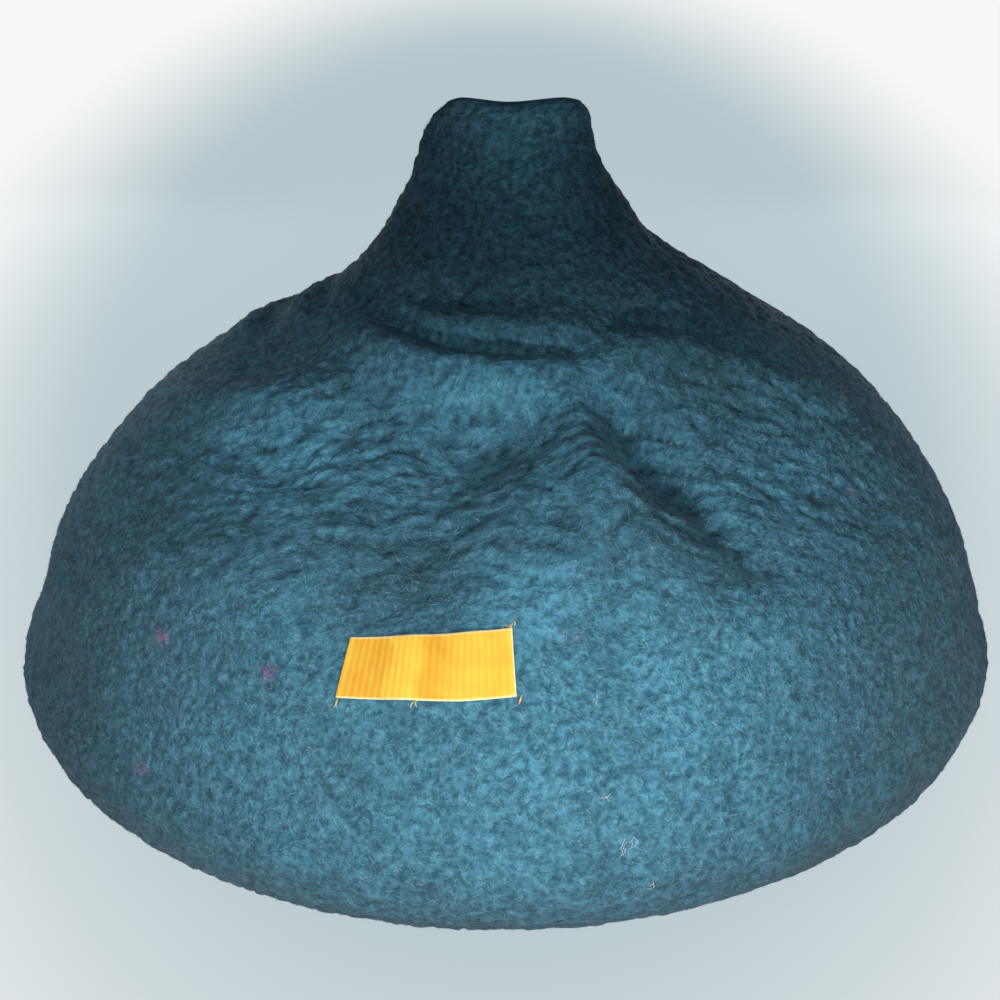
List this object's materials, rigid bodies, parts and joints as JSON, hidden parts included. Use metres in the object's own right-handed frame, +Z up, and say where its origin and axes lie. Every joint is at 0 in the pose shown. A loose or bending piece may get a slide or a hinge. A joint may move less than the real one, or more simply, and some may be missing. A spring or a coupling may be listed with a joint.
{
  "type": "felted wool pet cave bed",
  "caption": "Hollow hand-felted wool cave bed for a cat or small dog, with a flat round base, a dented front with a woven label, a pinched neck and an oval entrance at the back.",
  "frame": {"origin": "middle of the flat round base, on the surface that the bed stands on", "axes": "+Z up; the labelled, dented side faces -Y; the entrance faces +Y; +X is to the right seen from the labelled side"},
  "size_m": [0.4879, 0.4877, 0.3242],
  "materials": {
    "felt": "matte hand-felted wool, teal, pebbled and crinkled, slightly fuzzy",
    "label": "woven satin ribbon, golden yellow, soft sheen"
  },
  "bodies": {
    "root": {"felt_cave": "felt", "woven_label": "label"}
  },
  "joints": []
}
